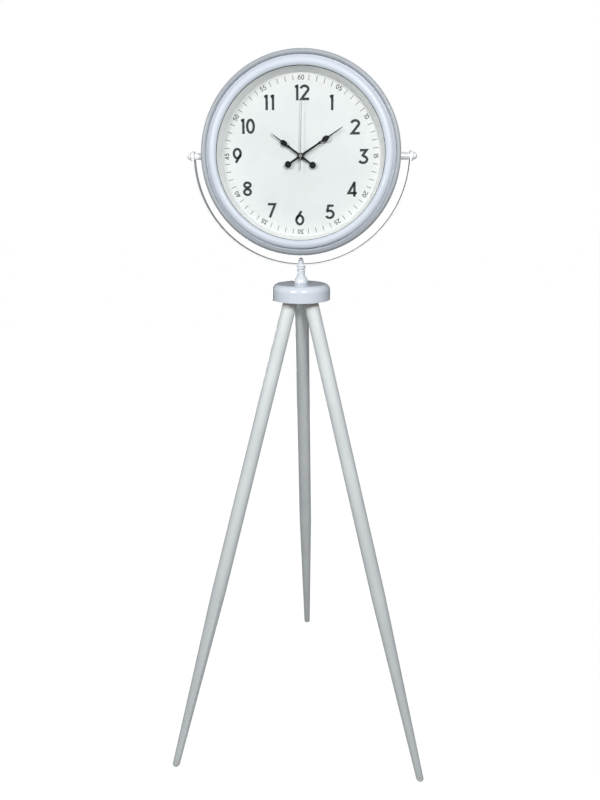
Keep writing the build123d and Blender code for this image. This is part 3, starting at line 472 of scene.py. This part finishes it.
# Finishes of the stand. A leg's top end lies this share of its foot's reach away from the mast
top_share = 0.077
for leg_name in ("leg_left", "leg_right", "leg_rear"):
    low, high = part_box(leg_name)
    foot_x = {"leg_left": low.x, "leg_right": high.x, "leg_rear": 0.0}[leg_name]
    foot_y = high.y if leg_name == "leg_rear" else low.y
    foot_point = (foot_x, foot_y, 0.0)
    top_point = (foot_x * top_share, mast_y + (foot_y - mast_y) * top_share, high.z)
    dress(leg_paint("paint_" + leg_name, foot_point, top_point), leg_name)

hub_enamel = gloss_enamel("hub_enamel", (0.74, 0.79, 0.86), (0.68, 0.735, 0.81), 0.12)
post_enamel = gloss_enamel("post_enamel", (0.76, 0.80, 0.85), (0.70, 0.745, 0.80), 0.16)
strap_enamel = gloss_enamel("strap_enamel", (0.92, 0.93, 0.94), (0.87, 0.885, 0.90), 0.22)
dress(hub_enamel, "hub_cap")
dress(core_wood(), "hub_core")
dress(post_enamel, "post", "yoke_collar", "acorn_nut", "acorn_washer")
dress(strap_enamel, "yoke_strap", "spacer_left", "spacer_right", "tilt_knob_left", "tilt_knob_right")

# Finishes of the head
bezel_enamel = gloss_enamel("bezel_enamel", (0.64, 0.69, 0.76), (0.60, 0.655, 0.725), 0.42, coat=0.08)
cover_enamel = gloss_enamel(
    "cover_enamel", (0.66, 0.68, 0.70), (0.60, 0.62, 0.645), 0.38, peel=coarse_peel_depth
)
dress(bezel_enamel, "bezel_ring")
dress(case_enamel(), "case_shell")
dress(cover_enamel, "back_cover")

# Finishes of the fastenings
zinc = plated_steel("zinc_plate", (0.66, 0.67, 0.69), (0.50, 0.51, 0.53))
contact_steel = plated_steel("contact_steel", (0.74, 0.74, 0.74), (0.58, 0.58, 0.59), 0.2)
nickel = plated_steel("nickel_plate", (0.55, 0.54, 0.52), (0.40, 0.39, 0.37), 0.34)
dress(zinc, "leg_bolts", "mast_stud", "stud_nut", "stud_washer", "pivot_nuts", "back_cover_screws")
dress(contact_steel, "contact_positive", "contact_negative", "stator", "gear_plate")
dress(turned_brass(), "leg_inserts")
dress(nickel, "brass_washer", "mounting_nut")
dress(gasket_rubber(), "lens_gasket", "rubber_washer")

# Finishes of the dial, the hands and the movement
ring_plastic = moulded_plastic("ring_plastic", (0.95, 0.96, 0.955), (0.92, 0.93, 0.925), 0.42)
wheel_plastic = moulded_plastic("wheel_plastic", (0.80, 0.80, 0.77), (0.72, 0.72, 0.69), 0.3)
movement_plastic = moulded_plastic("movement_plastic", (0.018, 0.018, 0.02), (0.03, 0.03, 0.032), 0.42)
black_lacquer = hand_lacquer("black_lacquer", (0.004, 0.004, 0.005), (0.014, 0.014, 0.015))
grey_lacquer = hand_lacquer("grey_lacquer", (0.26, 0.27, 0.275), (0.35, 0.36, 0.365))
dress(ring_plastic, "reflector_ring")
dress(wheel_plastic, "swivel_washer", "motion_wheel", "third_wheel", "centre_wheel", "intermediate_wheel")
dress(wheel_plastic, "hour_wheel")
dress(movement_plastic, "movement_case", "movement_cover", "time_knob")
dress(dial_board(), "dial_plate")
dress(lens_glass(), "glass_lens")
dress(black_lacquer, "hour_hand", "minute_hand")
dress(grey_lacquer, "second_hand", "seconds_wheel", "minute_arbor")
dress(board_lacquer(), "circuit_board")
dress(wound_copper(), "coil")
dress(battery_sleeve(), "battery")
dress(sintered_magnet(), "rotor")


# Printing on the dial: every figure is a set of strokes one unit high, drawn with an even pen

def arc(centre, radius_x, radius_z, start, end):
    """Points along an ellipse's arc, from a start angle to an end angle in degrees."""
    degrees_a_step = 9
    fewest_steps = 6
    steps = max(fewest_steps, int(abs(end - start) / degrees_a_step))
    angles = [math.radians(start + (end - start) * i / steps) for i in range(steps + 1)]
    return [(centre[0] + radius_x * math.cos(a), centre[1] + radius_z * math.sin(a)) for a in angles]


def ring(centre, radius_x, radius_z):
    """A whole ellipse, begun at its top."""
    return arc(centre, radius_x, radius_z, 90, 450)


def figure_strokes(pen):
    """The strokes of 0 to 9 between the pen's own limits, after each figure's width."""
    edge = pen / 2
    top = 1.0 - edge
    bowl = 0.30
    bowl_width = bowl - edge + 0.02
    three_bowl = arc((0.3, 0.3), 0.27, 0.3 - edge, 75, -158)
    five_bowl = arc((0.29, 0.33), 0.27, 0.33 - edge, 122, -152)
    eight_top = ring((0.31, 0.75), 0.215, 0.25 - edge)
    eight_bottom = ring((0.31, 0.28), 0.31 - edge, 0.28 - edge)
    six_bowl = ring((0.32, bowl + edge), bowl_width, bowl)
    nine_bowl = ring((0.32, 1.0 - bowl - edge), bowl_width, bowl)
    return {
        "0": (0.62, [ring((0.31, 0.5), 0.31 - edge, 0.5 - edge)]),
        "1": (0.22, [[(0.145, 0.0), (0.145, 1.0)], [(-0.01, 0.85), (0.145, 0.91)]]),
        "2": (0.62, [arc((0.31, 0.715), 0.25, 0.285 - edge, 172, -38) + [(0.1, edge), (0.62, edge)]]),
        "3": (0.64, [[(0.08, top), (0.52, top), (0.27, 0.585)] + three_bowl]),
        "4": (0.62, [[(0.47, 1.0), (0.05, 0.24), (0.62, 0.24)], [(0.45, 0.0), (0.45, 0.9)]]),
        "5": (0.62, [[(0.56, top), (0.2, top), (0.13, 0.56)] + five_bowl]),
        "6": (0.64, [six_bowl, [(0.43, 1.0), (0.08, 0.42)]]),
        "7": (0.62, [[(0.03, top), (0.54, top), (0.17, 0.0)]]),
        "8": (0.62, [eight_top, eight_bottom]),
        "9": (0.64, [nine_bowl, [(0.21, 0.0), (0.56, 0.58)]]),
    }


def ribbon(points, width):
    """The two edges of a pen stroke through the points, mitred at its corners."""
    same_point = 1e-6
    sharpest_mitre = 0.35
    closed = (Vector(points[0]) - Vector(points[-1])).length < same_point
    if closed:
        points = points[:-1]
    count = len(points)
    left, right = [], []
    for i, point in enumerate(points):
        here = Vector(point)
        before = Vector(points[i - 1]) if closed or i > 0 else None
        after = Vector(points[(i + 1) % count]) if closed or i < count - 1 else None
        into = (here - before).normalized() if before else (after - here).normalized()
        out = (after - here).normalized() if after else into
        normal_in = Vector((-into.y, into.x))
        normal_out = Vector((-out.y, out.x))
        mitre = (normal_in + normal_out).normalized()
        reach = width / 2 / max(sharpest_mitre, mitre.dot(normal_out))
        left.append(here + mitre * reach)
        right.append(here - mitre * reach)
    return left, right, closed


print_thickness = 0.00006


def print_mesh(name, marks, material):
    """A thin raised print on the dial from strokes given as (points, width) in millimetres on its face."""
    vertices, faces = [], []
    for points, width in marks:
        left, right, closed = ribbon(points, width)
        start = len(vertices)
        count = len(left)
        for depth in (0.0, print_thickness):
            for side in (left, right):
                for point in side:
                    vertices.append((head_x + point.x * MM, dial_y - depth, head_z + point.y * MM))
        back_left, back_right, front_left, front_right = (start + i * count for i in range(4))
        spans = count if closed else count - 1
        for i in range(spans):
            j = (i + 1) % count
            faces.append((front_left + i, front_right + i, front_right + j, front_left + j))
            faces.append((back_left + i, back_left + j, back_right + j, back_right + i))
            faces.append((back_left + i, front_left + i, front_left + j, back_left + j))
            faces.append((back_right + i, back_right + j, front_right + j, front_right + i))
        if not closed:
            last = count - 1
            faces.append((back_left, back_right, front_right, front_left))
            faces.append((back_left + last, front_left + last, front_right + last, back_right + last))
    data = bpy.data.meshes.new(name)
    data.from_pydata(vertices, [], faces)
    data.validate()
    made = bpy.data.objects.new(name, data)
    bpy.context.scene.collection.objects.link(made)
    data.materials.append(material)
    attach(made, "head")
    return made


def lettering(text, height, pen, centre, turned=0.0):
    """A number's strokes in millimetres about a centre, turned clockwise by degrees."""
    strokes = figure_strokes(pen / height)
    # The narrow figures of 11 stand further apart
    spacing = 0.21 if text == "11" else 0.1
    total = sum(strokes[character][0] for character in text) + spacing * (len(text) - 1)
    start = -total / 2
    angle = -math.radians(turned)
    marks = []
    for character in text:
        width, lines = strokes[character]
        for line in lines:
            placed = []
            for x, z in line:
                right, up = (start + x) * height, (z - 0.5) * height
                placed.append((
                    centre[0] + right * math.cos(angle) - up * math.sin(angle),
                    centre[1] + right * math.sin(angle) + up * math.cos(angle),
                ))
            marks.append((placed, pen))
        start += width + spacing
    return marks


def on_circle(radius, clockwise):
    """A point of the dial by its radius in millimetres and its angle from twelve."""
    angle = math.radians(clockwise)
    return (radius * math.sin(angle), radius * math.cos(angle))


# Centres of the hour numerals in millimetres from the dial's middle, as measured in the photograph:
# they stray by 2 to 6 from even steps round a circle of 127
hour_centres = {
    1: (62.7, 105.5),
    2: (111.1, 57.6),
    3: (129.0, -1.2),
    4: (107.5, -67.0),
    5: (61.2, -113.4),
    6: (-2.2, -126.9),
    7: (-61.5, -110.3),
    8: (-112.6, -65.8),
    9: (-132.8, 2.5),
    10: (-109.1, 60.3),
    11: (-64.7, 106.8),
    12: (2.5, 125.4),
}
hour_height = 30.4
hour_pen = 5.2
minute_circle = 154.75
minute_height = 9.6
minute_pen = 1.5
charcoal = ink("charcoal_ink", (0.04, 0.046, 0.049), (0.075, 0.082, 0.086))
grey_ink = ink("minute_ink", (0.06, 0.063, 0.063), (0.11, 0.114, 0.114))
pale_ink = ink("tick_ink", (0.22, 0.225, 0.225), (0.30, 0.305, 0.305))

hour_marks = []
for hour, hour_centre in hour_centres.items():
    hour_marks += lettering(str(hour), hour_height, hour_pen, hour_centre)
print_mesh("dial_hour_numerals", hour_marks, charcoal)

minute_marks = []
for hour in range(1, 13):
    clockwise = hour * 30
    minute_centre = on_circle(minute_circle, clockwise)
    minute_marks += lettering(f"{hour * 5:02d}", minute_height, minute_pen, minute_centre, clockwise)
print_mesh("dial_minute_numerals", minute_marks, grey_ink)


def minute_tick_tree():
    """Nodes that lay short flat ticks round a circle and leave out every fifth."""
    tree = bpy.data.node_groups.new("minute_ticks", "GeometryNodeTree")
    sizes = {
        "Count": ("NodeSocketInt", 60),
        "Radius": ("NodeSocketFloat", minute_circle * MM),
        "Length": ("NodeSocketFloat", 0.0105),
        "Width": ("NodeSocketFloat", 0.0015),
        "Thickness": ("NodeSocketFloat", print_thickness),
    }
    for label, (kind, value) in sizes.items():
        socket = tree.interface.new_socket(label, in_out="INPUT", socket_type=kind)
        socket.default_value = value
    tree.interface.new_socket("Geometry", in_out="OUTPUT", socket_type="NodeSocketGeometry")

    def calculate(operation, first, second):
        return add_node(tree, "ShaderNodeMath", {"operation": operation}, {0: first, 1: second}).outputs[0]

    def combine(values):
        return add_node(tree, "ShaderNodeCombineXYZ", None, values).outputs[0]

    source = add_node(tree, "NodeGroupInput").outputs
    around = {"Vertices": source["Count"], "Radius": source["Radius"]}
    circle = add_node(tree, "GeometryNodeMeshCircle", None, around)
    index = add_node(tree, "GeometryNodeInputIndex").outputs[0]
    kept = calculate("GREATER_THAN", calculate("MODULO", index, 5.0), 0.5)
    turn = calculate("MULTIPLY", index, calculate("DIVIDE", math.tau, source["Count"]))
    size = combine({0: source["Length"], 1: source["Width"], 2: source["Thickness"]})
    tick = add_node(tree, "GeometryNodeMeshCube", None, {"Size": size})
    placed = add_node(tree, "GeometryNodeInstanceOnPoints", None, {
        "Points": circle.outputs["Mesh"],
        "Selection": kept,
        "Instance": tick.outputs["Mesh"],
        "Rotation": combine({2: turn}),
    })
    instances = {"Geometry": placed.outputs["Instances"]}
    real = add_node(tree, "GeometryNodeRealizeInstances", None, instances)
    inked = {"Geometry": real.outputs["Geometry"], "Material": pale_ink}
    painted = add_node(tree, "GeometryNodeSetMaterial", None, inked)
    add_node(tree, "NodeGroupOutput", None, {"Geometry": painted.outputs["Geometry"]})
    return tree


def grown(name, tree, place, material):
    """A plain mesh from a node tree's result, moved into place and given its material."""
    holder = bpy.data.objects.new(name + "_holder", bpy.data.meshes.new(name + "_holder"))
    bpy.context.scene.collection.objects.link(holder)
    modifier = holder.modifiers.new("grow", "NODES")
    modifier.node_group = tree
    bpy.context.view_layer.update()
    evaluated = holder.evaluated_get(bpy.context.evaluated_depsgraph_get())
    data = bpy.data.meshes.new_from_object(evaluated)
    holder.modifiers.clear()
    bpy.data.objects.remove(holder)
    data.name = name
    data.transform(place)
    data.materials.clear()
    data.materials.append(material)
    made = bpy.data.objects.new(name, data)
    bpy.context.scene.collection.objects.link(made)
    return made


# The tick tree draws in its own XY plane: X across the dial, Y up it and Z out of its face
dial_face = Matrix.Translation((head_x, dial_y - print_thickness / 2, head_z))
ticks_place = dial_face @ Matrix.Rotation(math.radians(90), 4, "X")
ticks = grown("dial_minute_ticks", minute_tick_tree(), ticks_place, pale_ink)
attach(ticks, "head")


# Floor, light and camera: to the camera the floor and the room read as white paper, while the light on
# the clock comes from three lamps and a dim room, as in a studio cut-out

def paper_floor():
    """A pale floor that shows as white paper and still takes a faint shadow."""
    paper_glow = 1.12
    paper_share = 0.88
    paint = Paint("studio_floor")
    cloud = paint.noise(1.5, 2.0)
    matt = paint.node("BsdfPrincipled", None, {
        "Base Color": paint.mix(cloud, (0.42, 0.42, 0.42), (0.39, 0.39, 0.39)),
        "Roughness": 0.9,
        "Specular IOR Level": 0.1,
    })
    glow = paint.node("Emission", None, {"Color": (1.0, 1.0, 1.0, 1.0), "Strength": paper_glow})
    seen = paint.node("LightPath", None, None, "Is Camera Ray")
    paint.join_output(paint.node("MixShader", None, {0: seen * paper_share, 1: matt, 2: glow}))
    return paint.material


floor_half = 30.0
floor_corners = [(x * floor_half, y * floor_half, 0) for x, y in ((-1, -1), (1, -1), (1, 1), (-1, 1))]
floor_data = bpy.data.meshes.new("studio_floor")
floor_data.from_pydata(floor_corners, [], [(0, 1, 2, 3)])
floor = bpy.data.objects.new("studio_floor", floor_data)
floor_data.materials.append(paper_floor())
bpy.context.scene.collection.objects.link(floor)


def studio_room():
    """The room: white where the camera looks at it, and for everything else dim, least so in front."""
    towards_front = (0.1, -0.8, 0.58)
    back_light = 0.11
    front_light = 0.33
    world = bpy.data.worlds.new("studio")
    world.use_nodes = True
    tree = world.node_tree
    tree.nodes.clear()

    def add(kind, values=None, settings=None):
        return add_node(tree, "ShaderNode" + kind, settings, values).outputs

    place = add("TexCoord")["Generated"]
    front = add("VectorMath", {0: place, 1: towards_front}, {"operation": "DOT_PRODUCT"})["Value"]
    lift = add("MapRange", {0: front, 1: -1.0, 2: 1.0, 3: back_light, 4: front_light})[0]
    tint = add("Background", {"Color": (0.93, 0.97, 1.0, 1.0), "Strength": lift})[0]
    paper = add("Background", {"Color": (1.0, 1.0, 1.0, 1.0), "Strength": 1.0})[0]
    seen = add("LightPath")["Is Camera Ray"]
    add("OutputWorld", {"Surface": add("MixShader", {0: seen, 1: tint, 2: paper})[0]})
    return world


bpy.context.scene.world = studio_room()
bpy.context.scene.view_settings.view_transform = "Standard"
bpy.context.scene.view_settings.look = "None"


def soft_light(name, place, aim, size, power):
    """A square lamp aimed at a point."""
    data = bpy.data.lights.new(name, "AREA")
    data.shape = "SQUARE"
    data.size = size
    data.energy = power
    lamp = bpy.data.objects.new(name, data)
    lamp.location = place
    lamp.rotation_euler = (Vector(aim) - Vector(place)).to_track_quat("-Z", "Y").to_euler()
    bpy.context.scene.collection.objects.link(lamp)


soft_light("key_light", place=(0.45, -1.55, 1.8), aim=(0.0, -0.08, 1.2), size=0.3, power=15.4)
soft_light("fill_light", place=(-0.72, -1.4, 1.7), aim=(0.0, -0.08, 1.0), size=0.35, power=10.2)
soft_light("back_light", place=(-0.5, 2.2, 0.55), aim=(0.0, -0.08, 1.2), size=0.8, power=30.0)

camera_data = bpy.data.cameras.new("photo_view")
camera_data.sensor_width = 36.0
camera_data.lens = 25.757
camera_data.shift_y = -0.1092
camera_data.clip_start = 0.02
camera_data.clip_end = 200.0
camera = bpy.data.objects.new("photo_view", camera_data)
camera.location = (0.0745, -1.3066, 1.2528)
camera.rotation_euler = (math.radians(79.26), 0.0, math.radians(3.569))
bpy.context.scene.collection.objects.link(camera)
bpy.context.scene.camera = camera
